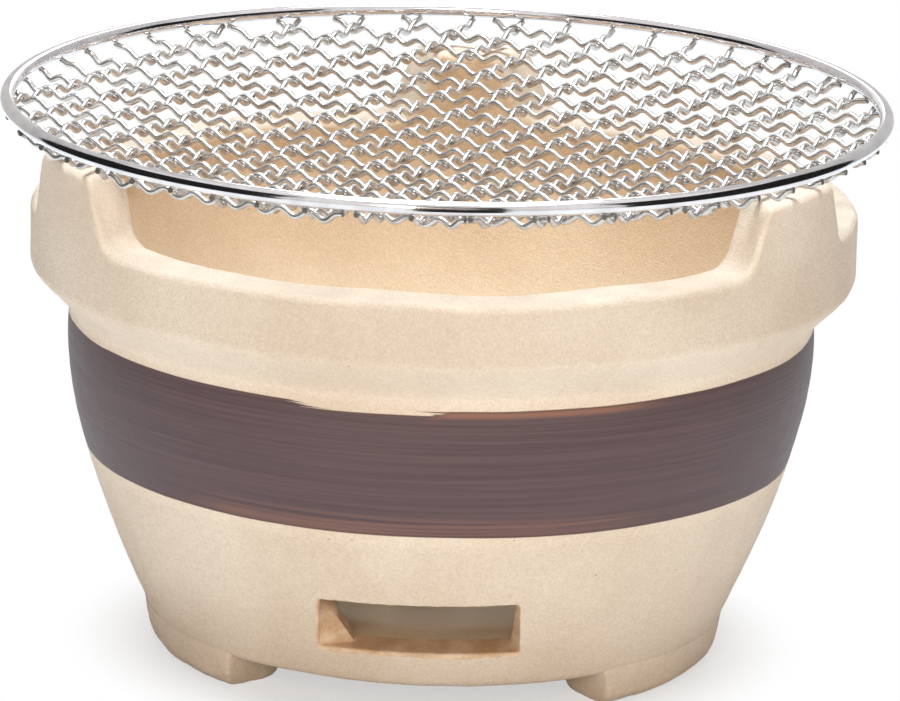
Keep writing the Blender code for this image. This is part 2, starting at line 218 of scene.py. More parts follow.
# Camera, fitted to the photograph
CAMERA_PLACE = (0.1134, -1.8535, 0.5807)
CAMERA_HEADING = math.radians(3.42)
CAMERA_PITCH = math.radians(-15.055)
CAMERA_ROLL = math.radians(1.65)
CAMERA_LENS = 283.4
SENSOR_WIDTH = 36.0
CAMERA_CLIP_END = 30.0

# Floor, surround and the cards that show in reflections
FLOOR_RADIUS = 12.0
FLOOR_SIDES = 96
FLOOR_SHADE = 0.86
FLOOR_FADE_START = 0.066
FLOOR_FADE_END = 0.104
FLOOR_NEAR_SHARE = 0.55
WORLD_LEVEL = 0.12
CARD_DISTANCE = 0.45
NEAR_CARD_DISTANCE = 0.27
CARD_COLUMNS = 12

# Range that most noise values keep to
NOISE_LOW = 0.3
NOISE_HIGH = 0.7

# Bare clay: its grain, clouds, specks, relief and roughness, and where the ash chamber's painted light
# starts
SAND_SCALE = 1500.0
SAND_SHARE = 0.78
COARSE_SAND_SCALE = 520.0
COARSE_SAND_SHARE = 0.22
GRAIN_SHADE = (0.89, 0.875, 0.85, 1.0)
CLOUD_SCALE = 22.0
SPECK_SCALE = 190.0
SPECKLESS_SHARE = 0.72
SPECK_STRENGTH = 0.7
CLAY_RELIEF = 0.0006
CLAY_RELIEF_STRENGTH = 0.8
BARE_ROUGHNESS = 0.9
CHAMBER_MARGIN = 0.0010
CHAMBER_EDGE = 0.0004

# Stretch of a place's axes for marks that run one way
STROKE_STRETCH = (9.0, 9.0, 900.0)
HAIR_STRETCH = (22.0, 22.0, 3600.0)
TOP_WAVER_STRETCH = (16.0, 16.0, 0.0)
BOTTOM_WAVER_STRETCH = (9.0, 9.0, 0.0)
DRAG_STRETCH = (160.0, 60.0, 260.0)
SHEAR_STRETCH = (1500.0, 1500.0, 5000.0)


def srgb(red, green, blue):
    """A linear colour from display values of 0 to 255."""
    shares = [value / 255 for value in (red, green, blue)]
    linear = [share / 12.92 if share <= 0.04045 else ((share + 0.055) / 1.055) ** 2.4 for share in shares]
    return (*linear, 1.0)


CLAY_LIGHT = srgb(240, 222, 204)
CLAY_DARK = srgb(228, 207, 187)
CLAY_SPECK = srgb(150, 118, 92)
CLAY_WARM = srgb(236, 208, 180)
# Painted light: a warm tint that stands in for the bounce light inside the mouth
BOWL_BOUNCE_LIGHT_TINT = srgb(255, 247, 232)
# Painted light: a paler, warmer clay of one colour that stands in for the light in the ash chamber
CHAMBER_PAINTED_LIGHT_CLAY = srgb(250, 230, 204)
CUT_CLAY_LIGHT = srgb(232, 206, 178)
CUT_CLAY_DARK = srgb(208, 170, 134)
SLIP_DARK = srgb(82, 62, 65)
SLIP_LIGHT = srgb(98, 77, 79)
SLIP_THIN = srgb(148, 104, 86)
SLIP_EDGE = srgb(96, 68, 56)
GRATE_LIGHT = srgb(226, 196, 168)
GRATE_DARK = srgb(198, 162, 132)
HOOP_COLOUR = srgb(226, 222, 223)
HOOP_HAZE = srgb(208, 203, 205)
WIRE_COLOUR = srgb(208, 204, 202)
WIRE_DULL = srgb(174, 169, 165)
WIRE_CUT = srgb(88, 86, 84)
WHITE = (1.0, 1.0, 1.0, 1.0)


# Node helpers

def add_node(tree, kind, inputs=None, **settings):
    """Add a node with its settings; an input is a value or another node's output."""
    made = tree.nodes.new(kind)
    for key, value in settings.items():
        setattr(made, key, value)
    for key, value in (inputs or {}).items():
        if isinstance(value, bpy.types.NodeSocket):
            tree.links.new(value, made.inputs[key])
        else:
            made.inputs[key].default_value = value
    return made


def maths(tree, operation, first, second=0.0):
    """One arithmetic step."""
    return add_node(tree, "ShaderNodeMath", {0: first, 1: second}, operation=operation).outputs[0]


def mixed(tree, share, first, second, blend="MIX"):
    """A mix of two colours."""
    inputs = {0: share, 6: first, 7: second}
    return add_node(tree, "ShaderNodeMix", inputs, data_type="RGBA", blend_type=blend).outputs[2]


def ramp(tree, value, low, high, to_low=0.0, to_high=1.0):
    """A smooth step between two values."""
    inputs = {"Value": value, "From Min": low, "From Max": high, "To Min": to_low, "To Max": to_high}
    made = add_node(tree, "ShaderNodeMapRange", inputs, interpolation_type="SMOOTHSTEP")
    return made.outputs["Result"]


def noise_at(tree, place, scale, detail=2.0, roughness=0.5):
    """Noise at a place, with features of about one over the scale."""
    inputs = {"Vector": place, "Scale": scale, "Detail": detail, "Roughness": roughness}
    return add_node(tree, "ShaderNodeTexNoise", inputs).outputs["Fac"]


def stretched(tree, place, stretch):
    """A place with each of its axes scaled."""
    inputs = {0: place, 1: stretch}
    return add_node(tree, "ShaderNodeVectorMath", inputs, operation="MULTIPLY").outputs["Vector"]


def new_material(name):
    """A material with its tree, its Principled shader and the place on the object."""
    material = bpy.data.materials.new(name)
    material.use_nodes = True
    tree = material.node_tree
    shader = tree.nodes["Principled BSDF"]
    place = add_node(tree, "ShaderNodeTexCoord").outputs["Object"]
    return material, tree, shader, place


def bumped(tree, shader, height, distance, strength=1.0):
    """Give a shader a bump from a height of 0 to 1."""
    inputs = {"Height": height, "Distance": distance, "Strength": strength}
    made = add_node(tree, "ShaderNodeBump", inputs)
    tree.links.new(made.outputs["Normal"], shader.inputs["Normal"])


# Materials

def sandy_grain(tree, place):
    """Height of the clay's sandy grain: fine sand with some coarser sand."""
    sand = noise_at(tree, place, SAND_SCALE, 3.0, 0.7)
    coarse = noise_at(tree, place, COARSE_SAND_SCALE, 3.0, 0.6)
    fine_part = maths(tree, "MULTIPLY", sand, SAND_SHARE)
    coarse_part = maths(tree, "MULTIPLY", coarse, COARSE_SAND_SHARE)
    return maths(tree, "ADD", fine_part, coarse_part)


def clay_colour(tree, place, grain, light, dark):
    """Colour of bare clay: clouds, grain and a few tiny dark specks."""
    cloud = noise_at(tree, place, CLOUD_SCALE, 4.0, 0.55)
    base = mixed(tree, ramp(tree, cloud, NOISE_LOW, NOISE_HIGH), dark, light)
    shade = mixed(tree, ramp(tree, grain, 0.38, 0.62), GRAIN_SHADE, WHITE)
    grained = mixed(tree, 1.0, base, shade, "MULTIPLY")
    cells = add_node(tree, "ShaderNodeTexVoronoi", {"Vector": place, "Scale": SPECK_SCALE})
    cell_value = add_node(tree, "ShaderNodeSeparateColor", {0: cells.outputs["Color"]}).outputs[0]
    chosen = maths(tree, "GREATER_THAN", cell_value, SPECKLESS_SHARE)
    near = ramp(tree, cells.outputs["Distance"], 0.035, 0.06, 1.0, 0.0)
    speck = maths(tree, "MULTIPLY", maths(tree, "MULTIPLY", chosen, near), SPECK_STRENGTH)
    return mixed(tree, speck, grained, CLAY_SPECK)


def make_clay():
    """Bare pale clay, with painted warm bounce light inside the mouth, and painted light in the ash
    chamber, where the clay is paler and of one colour.
    """
    material, tree, shader, place = new_material("fired_clay")
    grain = sandy_grain(tree, place)
    colour = clay_colour(tree, place, grain, CLAY_LIGHT, CLAY_DARK)
    axes = add_node(tree, "ShaderNodeSeparateXYZ", {0: place}).outputs
    flat = add_node(tree, "ShaderNodeCombineXYZ", {0: axes["X"], 1: axes["Y"]}).outputs[0]
    distance = add_node(tree, "ShaderNodeVectorMath", {0: flat}, operation="LENGTH").outputs["Value"]
    # Painted warm bounce light: the clay inside the mouth, above the seat, is tinted warmer
    within = ramp(tree, distance, MOUTH_RADIUS, MOUTH_RADIUS + MOUTH_ROUNDING, 1.0, 0.0)
    above_seat = ramp(tree, axes["Z"], LEDGE_TOP, SEAT_TOP)
    colour = mixed(tree, maths(tree, "MULTIPLY", within, above_seat), colour, BOWL_BOUNCE_LIGHT_TINT, "MULTIPLY")
    # Painted light in the ash chamber: between its floor and the ledge, the clay is replaced by one paler
    # colour
    above_base = ramp(tree, axes["Z"], ASH_FLOOR - 2 * CHAMBER_MARGIN, ASH_FLOOR - CHAMBER_MARGIN)
    below_ledge = ramp(tree, axes["Z"], LEDGE_BOTTOM, LEDGE_TOP, 1.0, 0.0)
    in_chamber = ramp(tree, distance, ASH_TOP_RADIUS, ASH_TOP_RADIUS + CHAMBER_EDGE, 1.0, 0.0)
    chamber = maths(tree, "MULTIPLY", maths(tree, "MULTIPLY", above_base, below_ledge), in_chamber)
    colour = mixed(tree, chamber, colour, CHAMBER_PAINTED_LIGHT_CLAY)
    tree.links.new(colour, shader.inputs["Base Color"])
    tree.links.new(ramp(tree, grain, NOISE_LOW, NOISE_HIGH, 0.95, 0.82), shader.inputs["Roughness"])
    shader.inputs["Specular IOR Level"].default_value = 0.3
    bumped(tree, shader, grain, CLAY_RELIEF, CLAY_RELIEF_STRENGTH)
    return material


def make_painted_clay():
    """Clay with the brushed band of slip on it."""
    material, tree, shader, place = new_material("slip_on_clay")
    grain = sandy_grain(tree, place)
    clay = clay_colour(tree, place, grain, CLAY_LIGHT, CLAY_DARK)
    axes = add_node(tree, "ShaderNodeSeparateXYZ", {0: place}).outputs
    height = axes["Z"]
    azimuth = maths(tree, "ARCTAN2", axes["X"], maths(tree, "MULTIPLY", axes["Y"], -1.0))
    strokes = noise_at(tree, stretched(tree, place, STROKE_STRETCH), 1.0, 4.0, 0.65)
    hairs = noise_at(tree, stretched(tree, place, HAIR_STRETCH), 1.0, 2.0, 0.6)
    waver = noise_at(tree, stretched(tree, place, TOP_WAVER_STRETCH), 1.0, 2.0, 0.5)
    low_waver = noise_at(tree, stretched(tree, place, BOTTOM_WAVER_STRETCH), 1.0, 2.0, 0.5)
    bristles = maths(tree, "MULTIPLY", maths(tree, "SUBTRACT", hairs, 0.5), BRISTLE_SPREAD)
    frayed = maths(tree, "ADD", azimuth, bristles)
    first_stroke = ramp(tree, frayed, FIRST_STROKE_END - STROKE_TIP, FIRST_STROKE_END, STROKE_STEP, 0.0)
    second_full = SECOND_STROKE_START + STROKE_TIP
    second_stroke = ramp(tree, frayed, SECOND_STROKE_START, second_full, 0.0, STROKE_STEP)
    raised = maths(tree, "ADD", first_stroke, second_stroke)
    top_edge = maths(tree, "MULTIPLY_ADD", waver, TOP_WAVER)
    top_edge.node.inputs[2].default_value = BAND_TOP - STROKE_STEP - TOP_WAVER_DROP
    top_edge = maths(tree, "ADD", top_edge, raised)
    bottom_edge = maths(tree, "MULTIPLY_ADD", low_waver, BOTTOM_WAVER)
    bottom_edge.node.inputs[2].default_value = BAND_BOTTOM - BOTTOM_WAVER_DROP
    below_top = maths(tree, "SUBTRACT", top_edge, height)
    above_bottom = maths(tree, "SUBTRACT", height, bottom_edge)
    inside = maths(tree, "MINIMUM", below_top, above_bottom)
    fray = maths(tree, "MULTIPLY", maths(tree, "SUBTRACT", strokes, 0.5), EDGE_FRAY)
    depth = maths(tree, "ADD", inside, fray)
    covered = ramp(tree, depth, 0.0, EDGE_WIDTH)
    full = mixed(tree, ramp(tree, strokes, NOISE_LOW, NOISE_HIGH), SLIP_DARK, SLIP_LIGHT)
    haired = mixed(tree, ramp(tree, hairs, 0.60, 0.80, 0.0, 0.25), full, SLIP_THIN)
    streaks = ramp(tree, strokes, 0.35, 0.6)
    fading = ramp(tree, azimuth, THIN_END - THIN_FADE, THIN_END, 1.0, 0.0)
    overlap = maths(tree, "MULTIPLY", ramp(tree, azimuth, SECOND_STROKE_START, second_full), fading)
    top_thin = maths(tree, "MULTIPLY", overlap, ramp(tree, below_top, *TOP_THINNING, 0.85, 0.0))
    front = maths(tree, "MULTIPLY", ramp(tree, azimuth, -THIN_END, -THIN_END + THIN_FADE), fading)
    low_thin = maths(tree, "MULTIPLY", front, ramp(tree, above_bottom, *LOW_THINNING, 0.42, 0.0))
    low_thin = maths(tree, "MULTIPLY", low_thin, streaks)
    worn = mixed(tree, maths(tree, "MAXIMUM", top_thin, low_thin), haired, SLIP_THIN)
    slip = mixed(tree, ramp(tree, depth, *EDGE_TONE, 0.7, 0.0), worn, SLIP_EDGE)
    tree.links.new(mixed(tree, covered, clay, slip), shader.inputs["Base Color"])
    slip_roughness = ramp(tree, strokes, NOISE_LOW, NOISE_HIGH, 0.50, 0.62)
    smoother = maths(tree, "SUBTRACT", slip_roughness, BARE_ROUGHNESS)
    roughness = maths(tree, "MULTIPLY_ADD", covered, smoother)
    roughness.node.inputs[2].default_value = BARE_ROUGHNESS
    tree.links.new(roughness, shader.inputs["Roughness"])
    shader.inputs["Specular IOR Level"].default_value = 0.4
    brush = maths(tree, "ADD", maths(tree, "MULTIPLY", strokes, 0.5), maths(tree, "MULTIPLY", hairs, 0.3))
    relief = add_node(tree, "ShaderNodeMix", {0: covered, 2: grain, 3: brush}).outputs[0]
    bumped(tree, shader, relief, 0.0004, 0.6)
    return material


def make_cut_clay():
    """Rough cut clay in the vent's tunnel."""
    material, tree, shader, place = new_material("cut_clay")
    grain = sandy_grain(tree, place)
    drag = noise_at(tree, stretched(tree, place, DRAG_STRETCH), 1.0, 4.0, 0.6)
    base = mixed(tree, ramp(tree, drag, 0.35, 0.68), CUT_CLAY_DARK, CUT_CLAY_LIGHT)
    colour = mixed(tree, ramp(tree, grain, 0.4, 0.7, 0.0, 0.5), base, CLAY_WARM)
    tree.links.new(colour, shader.inputs["Base Color"])
    shader.inputs["Roughness"].default_value = 0.95
    shader.inputs["Specular IOR Level"].default_value = 0.2
    relief = maths(tree, "ADD", maths(tree, "MULTIPLY", drag, 0.7), maths(tree, "MULTIPLY", grain, 0.5))
    bumped(tree, shader, relief, 0.0004, 0.5)
    return material


def make_grate_clay():
    """Redder clay of the fire grate."""
    material, tree, shader, place = new_material("grate_clay")
    grain = sandy_grain(tree, place)
    colour = clay_colour(tree, place, grain, GRATE_LIGHT, GRATE_DARK)
    tree.links.new(colour, shader.inputs["Base Color"])
    shader.inputs["Roughness"].default_value = 0.93
    bumped(tree, shader, grain, CLAY_RELIEF, CLAY_RELIEF_STRENGTH)
    return material


def make_hoop_steel():
    """Bright smooth wire with a faint haze."""
    material, tree, shader, place = new_material("hoop_steel")
    haze = noise_at(tree, place, 120.0, 3.0, 0.6)
    shader.inputs["Metallic"].default_value = 1.0
    colour = mixed(tree, ramp(tree, haze, NOISE_LOW, NOISE_HIGH), HOOP_COLOUR, HOOP_HAZE)
    tree.links.new(colour, shader.inputs["Base Color"])
    tree.links.new(ramp(tree, haze, NOISE_LOW, NOISE_HIGH, 0.08, 0.14), shader.inputs["Roughness"])
    bumped(tree, shader, noise_at(tree, place, 500.0, 2.0, 0.5), 0.00003, 0.3)
    return material


def make_wire_steel():
    """Crimped net wire: a pale coat with duller patches and fine scratches."""
    material, tree, shader, place = new_material("net_wire_steel")
    patches = noise_at(tree, place, 260.0, 3.0, 0.6)
    scratches = noise_at(tree, place, 2200.0, 2.0, 0.6)
    shader.inputs["Metallic"].default_value = 0.76
    colour = mixed(tree, ramp(tree, patches, 0.4, 0.7), WIRE_COLOUR, WIRE_DULL)
    tree.links.new(colour, shader.inputs["Base Color"])
    tree.links.new(ramp(tree, patches, NOISE_LOW, NOISE_HIGH, 0.13, 0.24), shader.inputs["Roughness"])
    bumped(tree, shader, scratches, 0.00005, 0.4)
    return material


def make_wire_cut():
    """Sheared ends of the net's wires."""
    material, tree, shader, place = new_material("wire_cut_face")
    marks = noise_at(tree, stretched(tree, place, SHEAR_STRETCH), 1.0, 3.0, 0.6)
    shader.inputs["Metallic"].default_value = 1.0
    colour = mixed(tree, ramp(tree, marks, NOISE_LOW, NOISE_HIGH), WIRE_CUT, WIRE_DULL)
    tree.links.new(colour, shader.inputs["Base Color"])
    shader.inputs["Roughness"].default_value = 0.5
    bumped(tree, shader, marks, 0.0001, 0.5)
    return material


CLAY = make_clay()
PAINTED_CLAY = make_painted_clay()
CUT_CLAY = make_cut_clay()
GRATE_CLAY = make_grate_clay()
HOOP_STEEL = make_hoop_steel()
WIRE_STEEL = make_wire_steel()
WIRE_CUT_FACE = make_wire_cut()


# Mesh helpers

def mesh_from_arrays(name, points, faces):
    """A mesh from points and faces."""
    mesh = bpy.data.meshes.new(name)
    mesh.from_pydata([tuple(point) for point in points], [], [tuple(face) for face in faces])
    return mesh


def add_object(name, mesh, materials):
    """An object in the scene with its materials."""
    obj = bpy.data.objects.new(name, mesh)
    bpy.context.scene.collection.objects.link(obj)
    mesh.materials.clear()
    for material in materials:
        mesh.materials.append(material)
    return obj


def weld(mesh):
    """Join the points that lie on each other."""
    bm = bmesh.new()
    bm.from_mesh(mesh)
    bmesh.ops.remove_doubles(bm, verts=bm.verts, dist=WELD_DISTANCE)
    bm.to_mesh(mesh)
    bm.free()


def faced_outwards(mesh):
    """Turn a closed mesh's faces outwards."""
    bm = bmesh.new()
    bm.from_mesh(mesh)
    bmesh.ops.recalc_face_normals(bm, faces=bm.faces)
    bm.to_mesh(mesh)
    bm.free()


def baked(obj):
    """Replace an object's mesh by what its modifiers make of it."""
    depsgraph = bpy.context.evaluated_depsgraph_get()
    mesh = bpy.data.meshes.new_from_object(obj.evaluated_get(depsgraph))
    obj.modifiers.clear()
    obj.data = mesh


def roughened(mesh, scale, amount):
    """Move each point along its normal by smooth noise."""
    count = len(mesh.vertices)
    places = np.empty(count * 3)
    normals = np.empty(count * 3)
    mesh.vertices.foreach_get("co", places)
    mesh.vertices.foreach_get("normal", normals)
    places = places.reshape(-1, 3)
    normals = normals.reshape(-1, 3)
    heights = np.array([noise.noise(Vector(place) * scale) for place in places])
    moved = places + normals * (heights * amount)[:, None]
    mesh.vertices.foreach_set("co", moved.ravel())
    mesh.update()


def shade_round(mesh):
    """Smooth shading with the real corners kept sharp."""
    mesh.shade_smooth()
    mesh.set_sharp_from_angle(angle=SHARP_ANGLE)


def filleted(corners, steps=FILLET_STEPS):
    """Points along (first, second, fillet radius) corners, with arcs at the fillets."""
    points = []
    for i, (first, second, fillet) in enumerate(corners):
        corner = Vector((first, second))
        if fillet == 0:
            points.append(corner)
            continue
        before = (Vector(corners[i - 1][:2]) - corner).normalized()
        after = (Vector(corners[(i + 1) % len(corners)][:2]) - corner).normalized()
        half = before.angle(after) / 2
        centre = corner + (before + after).normalized() * (fillet / math.sin(half))
        start = corner + before * (fillet / math.tan(half)) - centre
        turn = math.copysign(1.0, before.x * after.y - before.y * after.x)
        for step in range(steps + 1):
            angle = -turn * (math.pi - 2 * half) * step / steps
            points.append(centre + Matrix.Rotation(angle, 2) @ start)
    return points


def subdivided(points, longest):
    """The points with more put in, so that none lie further apart than the longest edge."""
    result = [points[0]]
    for before, after in zip(points, points[1:]):
        parts = max(1, math.ceil((after - before).length / longest))
        result += [before.lerp(after, part / parts) for part in range(1, parts + 1)]
    return result


def bezier(start, control, end, t):
    """A point of a quadratic curve."""
    return start * (1 - t) ** 2 + control * (2 * t * (1 - t)) + end * t ** 2


# Clay body

def outer_wall_radius(height):
    """Radius of the wall below the collar, where its quadratic curve passes a height."""
    drop = WALL_TOP - height
    fall = 2 * (WALL_TOP - BELLY_HEIGHT)
    bend = WALL_TOP - 2 * BELLY_HEIGHT + BODY_BOTTOM
    t = 2 * drop / (fall + math.sqrt(fall * fall - 4 * bend * drop))
    return bezier(WALL_TOP_RADIUS, BELLY_RADIUS, BASE_RADIUS, t)


def notches():
    """Azimuth and half angle of each notch between two lobes."""
    side_azimuth = (FRONT_LOBE_AZIMUTH + math.pi) / 2
    side_half = (math.pi - FRONT_LOBE_AZIMUTH) / 2 - LOBE_HALF_ANGLE
    front = (0.0, FRONT_LOBE_AZIMUTH - LOBE_HALF_ANGLE)
    return [front, (side_azimuth, side_half), (-side_azimuth, side_half)]


def notch_side(distance, rise):
    """Height over a notch floor at a distance inside (+) or outside (-) of its side's foot line."""
    slope = math.tan(NOTCH_SIDE_RISE)
    half_turn = math.tan(NOTCH_SIDE_RISE / 2)
    cosine = math.cos(NOTCH_SIDE_RISE)
    foot = NOTCH_CORNER_RADIUS * half_turn
    head = LOBE_ROUNDING * half_turn
    edge = -rise / slope
    height = np.where(distance < 0, -distance * slope, 0.0)
    in_corner = (distance < foot) & (distance > -foot * cosine)
    reach = np.clip(foot - distance, 0, NOTCH_CORNER_RADIUS)
    corner = NOTCH_CORNER_RADIUS - np.sqrt(NOTCH_CORNER_RADIUS ** 2 - reach ** 2)
    height = np.where(in_corner, corner, height)
    at_head = distance < edge + head * cosine
    over = np.clip(distance - (edge - head), 0, LOBE_ROUNDING)
    crown = rise - LOBE_ROUNDING + np.sqrt(LOBE_ROUNDING ** 2 - over ** 2)
    return np.where(at_head, crown, height)


def rim_height(azimuths, radius, sink=0.0):
    """Height of the rim at a radius; a sunk edge also draws the notch sides apart."""
    x = radius * np.sin(azimuths)
    y = -radius * np.cos(azimuths)
    dip = FLOOR_DIP * np.exp(-((azimuths - FLOOR_DIP_AZIMUTH) / FLOOR_DIP_SPREAD) ** 2)
    ripple = sum(size * np.sin(waves * azimuths + phase) for size, waves, phase in RIM_RIPPLES)
    floor = NOTCH_FLOOR + x * math.tan(RIM_TILT) - dip + ripple
    height = np.full_like(azimuths, RIM_TOP)
    for azimuth, half in notches():
        along = x * math.sin(azimuth) - y * math.cos(azimuth)
        across = np.abs(x * math.cos(azimuth) + y * math.sin(azimuth))
        side = half - NOTCH_SIDE_TOE
        width = COLLAR_RADIUS * math.sin(half) + (along - COLLAR_RADIUS * math.cos(half)) * math.tan(side)
        distance = (width - across) * math.cos(side) + EDGE_SPREAD * sink
        distance = np.where(along > 0, distance, -1.0)
        height = np.minimum(height, floor + notch_side(distance, RIM_TOP - floor))
    return height


def column_azimuths():
    """Azimuths of the body's columns, close together at the notch sides and the vent."""
    walls = [azimuth + sign * half for azimuth, half in notches() for sign in (-1, 1)]
    azimuths = []
    azimuth = -math.pi
    while azimuth < math.pi - FINE_STEP / 2:
        azimuths.append(azimuth)
        nearest = min(abs(math.remainder(azimuth - wall, math.tau)) for wall in walls)
        if nearest < FINE_SPAN:
            azimuth += FINE_STEP
        elif abs(azimuth) < VENT_SPAN:
            azimuth += VENT_STEP
        else:
            azimuth += COARSE_STEP
    return np.array(azimuths)


def inner_points():
    """(radius, height) from the middle of the ash floor up to the foot of the mouth wall."""
    bowl_low = Vector((SEAT_RADIUS, SEAT_TOP))
    bowl_mid = Vector((BOWL_SHOULDER_RADIUS, BOWL_SHOULDER_HEIGHT))
    bowl_high = Vector((MOUTH_RADIUS, BOWL_TOP))
    bowl = [bezier(bowl_low, bowl_mid, bowl_high, (step + 1) / BOWL_STEPS) for step in range(BOWL_STEPS)]
    corners = [
        (0.0, ASH_FLOOR, 0),
        (ASH_FLOOR_RADIUS, ASH_FLOOR, ASH_CORNER_RADIUS),
        (ASH_TOP_RADIUS, ASH_CEILING_EDGE, ASH_CORNER_RADIUS),
        (LEDGE_RADIUS, LEDGE_BOTTOM, INNER_EDGE_ROUNDING),
        (LEDGE_RADIUS, LEDGE_TOP, INNER_EDGE_ROUNDING),
        (SEAT_RADIUS, LEDGE_TOP, INNER_EDGE_ROUNDING / 2),
        (SEAT_RADIUS, SEAT_TOP, INNER_EDGE_ROUNDING),
        (*bowl[1], 0),
    ]
    return subdivided(filleted(corners), FLAT_EDGE / 2) + bowl[2:]


def outer_points():
    """(radius, height) from the collar's lower corner down to the middle of the underside."""
    top = outer_wall_radius(WALL_TOP)
    collar = filleted([
        (COLLAR_RADIUS, COLLAR_BOTTOM + 2 * COLLAR_ROUNDING, 0),
        (COLLAR_RADIUS, COLLAR_BOTTOM, COLLAR_ROUNDING),
        (top, WALL_TOP, COLLAR_COVE),
        (outer_wall_radius(BAND_TOP), BAND_TOP, 0),
    ])[1:]
    base_top = BODY_BOTTOM + 2 * BASE_ROUNDING
    heights = [BAND_TOP + (base_top - BAND_TOP) * step / WALL_STEPS for step in range(1, WALL_STEPS)]
    wall = [Vector((outer_wall_radius(height), height)) for height in heights]
    base = filleted([
        (outer_wall_radius(base_top), base_top, 0),
        (BASE_RADIUS, BODY_BOTTOM, BASE_ROUNDING),
        (0.0, BODY_BOTTOM, 0),
    ])
    return subdivided(collar, LONGEST_EDGE) + wall + subdivided(base, FLAT_EDGE)


def rim_rows(azimuths):
    """(radius, heights) rows from the mouth wall over the rim and down to the collar's lower corner."""
    rows = []
    inner_top = rim_height(azimuths, MOUTH_RADIUS, MOUTH_ROUNDING) - MOUTH_ROUNDING
    for row in range(1, MOUTH_WALL_ROWS + 1):
        rows.append((MOUTH_RADIUS, BOWL_TOP + (inner_top - BOWL_TOP) * row / MOUTH_WALL_ROWS))
    for step in range(1, FILLET_STEPS + 1):
        angle = math.pi / 2 * step / FILLET_STEPS
        radius = MOUTH_RADIUS + MOUTH_ROUNDING * (1 - math.cos(angle))
        sink = MOUTH_ROUNDING * (1 - math.sin(angle))
        rows.append((radius, rim_height(azimuths, radius, sink) - sink))
    flat_start = MOUTH_RADIUS + MOUTH_ROUNDING
    flat_end = COLLAR_RADIUS - OUTER_ROUNDING
    for row in range(1, RIM_TOP_ROWS):
        radius = flat_start + (flat_end - flat_start) * row / RIM_TOP_ROWS
        rows.append((radius, rim_height(azimuths, radius)))
    for step in range(FILLET_STEPS + 1):
        angle = math.pi / 2 * step / FILLET_STEPS
        radius = flat_end + OUTER_ROUNDING * math.sin(angle)
        sink = OUTER_ROUNDING * (1 - math.cos(angle))
        rows.append((radius, rim_height(azimuths, radius, sink) - sink))
    collar_top = rows[-1][1]
    collar_low = outer_points()[0].y
    for row in range(1, COLLAR_ROWS):
        rows.append((COLLAR_RADIUS, collar_top + (collar_low - collar_top) * row / COLLAR_ROWS))
    return rows


def vent_ring(share, grow, depth):
    """Points of one ring of the vent's cutter, between the outer and the inner opening."""
    spread = ((-VENT_LIP_LEFT, -VENT_LIP_BOTTOM), (VENT_LIP_RIGHT, -VENT_LIP_BOTTOM),
              (VENT_LIP_RIGHT, VENT_LIP_TOP), (-VENT_LIP_LEFT, VENT_LIP_TOP))
    corners = []
    for (x_out, z_out), (x_in, z_in), (x_lip, z_lip) in zip(VENT_OUTER, VENT_INNER, spread):
        x = x_out + (x_in - x_out) * share + x_lip * grow
        z = z_out + (z_in - z_out) * share + z_lip * grow
        corners.append((x, z, VENT_CORNER_RADIUS * (1 + grow)))
    arcs = filleted(corners, VENT_ARC_STEPS)
    points = []
    per_corner = len(arcs) // len(corners)
    for i, point in enumerate(arcs):
        points.append(point)
        if i % per_corner == per_corner - 1:
            following = arcs[(i + 1) % len(arcs)]
            long_side = (i // per_corner) % 2 == 0
            side_points = VENT_LONG_SIDE_POINTS if long_side else VENT_SHORT_SIDE_POINTS
            points += [point.lerp(following, step / side_points) for step in range(1, side_points)]
    ring = []
    for point in points:
        skin = -math.sqrt(outer_wall_radius(max(point.y, BODY_BOTTOM)) ** 2 - point.x ** 2)
        y = skin + depth
        roughness = VENT_CRUMBLE * (0.5 + grow)
        crumble_x = noise.noise(Vector((point.x, y, point.y)) * CRUMBLE_SCALE) * roughness
        crumble_z = noise.noise(Vector((point.x + 1, y, point.y)) * CRUMBLE_SCALE) * roughness
        ring.append((point.x + crumble_x, y, point.y + crumble_z))
    return ring


def make_vent_cutter():
    """The vent's opening as a loft from outside the wall into the ash chamber, with a worn lip."""
    stations = list(VENT_OUTSIDE_RINGS)
    for step in range(VENT_LIP_STEPS + 1):
        angle = math.pi / 2 * step / VENT_LIP_STEPS
        depth = VENT_LIP_DEPTH * (1 - math.cos(angle))
        stations.append((0.0, 1 - math.sin(angle), depth))
    for step in range(1, VENT_TAPER_STEPS + 1):
        share = step / VENT_TAPER_STEPS
        stations.append((share, 0.0, VENT_LIP_DEPTH + (VENT_TAPER_DEPTH - VENT_LIP_DEPTH) * share))
    stations.append((1.0, 0.0, VENT_DEPTH))
    rings = [vent_ring(*station) for station in stations]
    count = len(rings[0])
    points = [point for ring in rings for point in ring]
    faces = []
    for ring in range(len(rings) - 1):
        for i in range(count):
            after = (i + 1) % count
            first = ring * count
            second = first + count
            faces.append((first + i, first + after, second + after, second + i))
    faces.append(tuple(reversed(range(count))))
    faces.append(tuple(range((len(rings) - 1) * count, len(rings) * count)))
    mesh = mesh_from_arrays("vent_cutter", points, faces)
    faced_outwards(mesh)
    return add_object("vent_cutter", mesh, [CUT_CLAY])


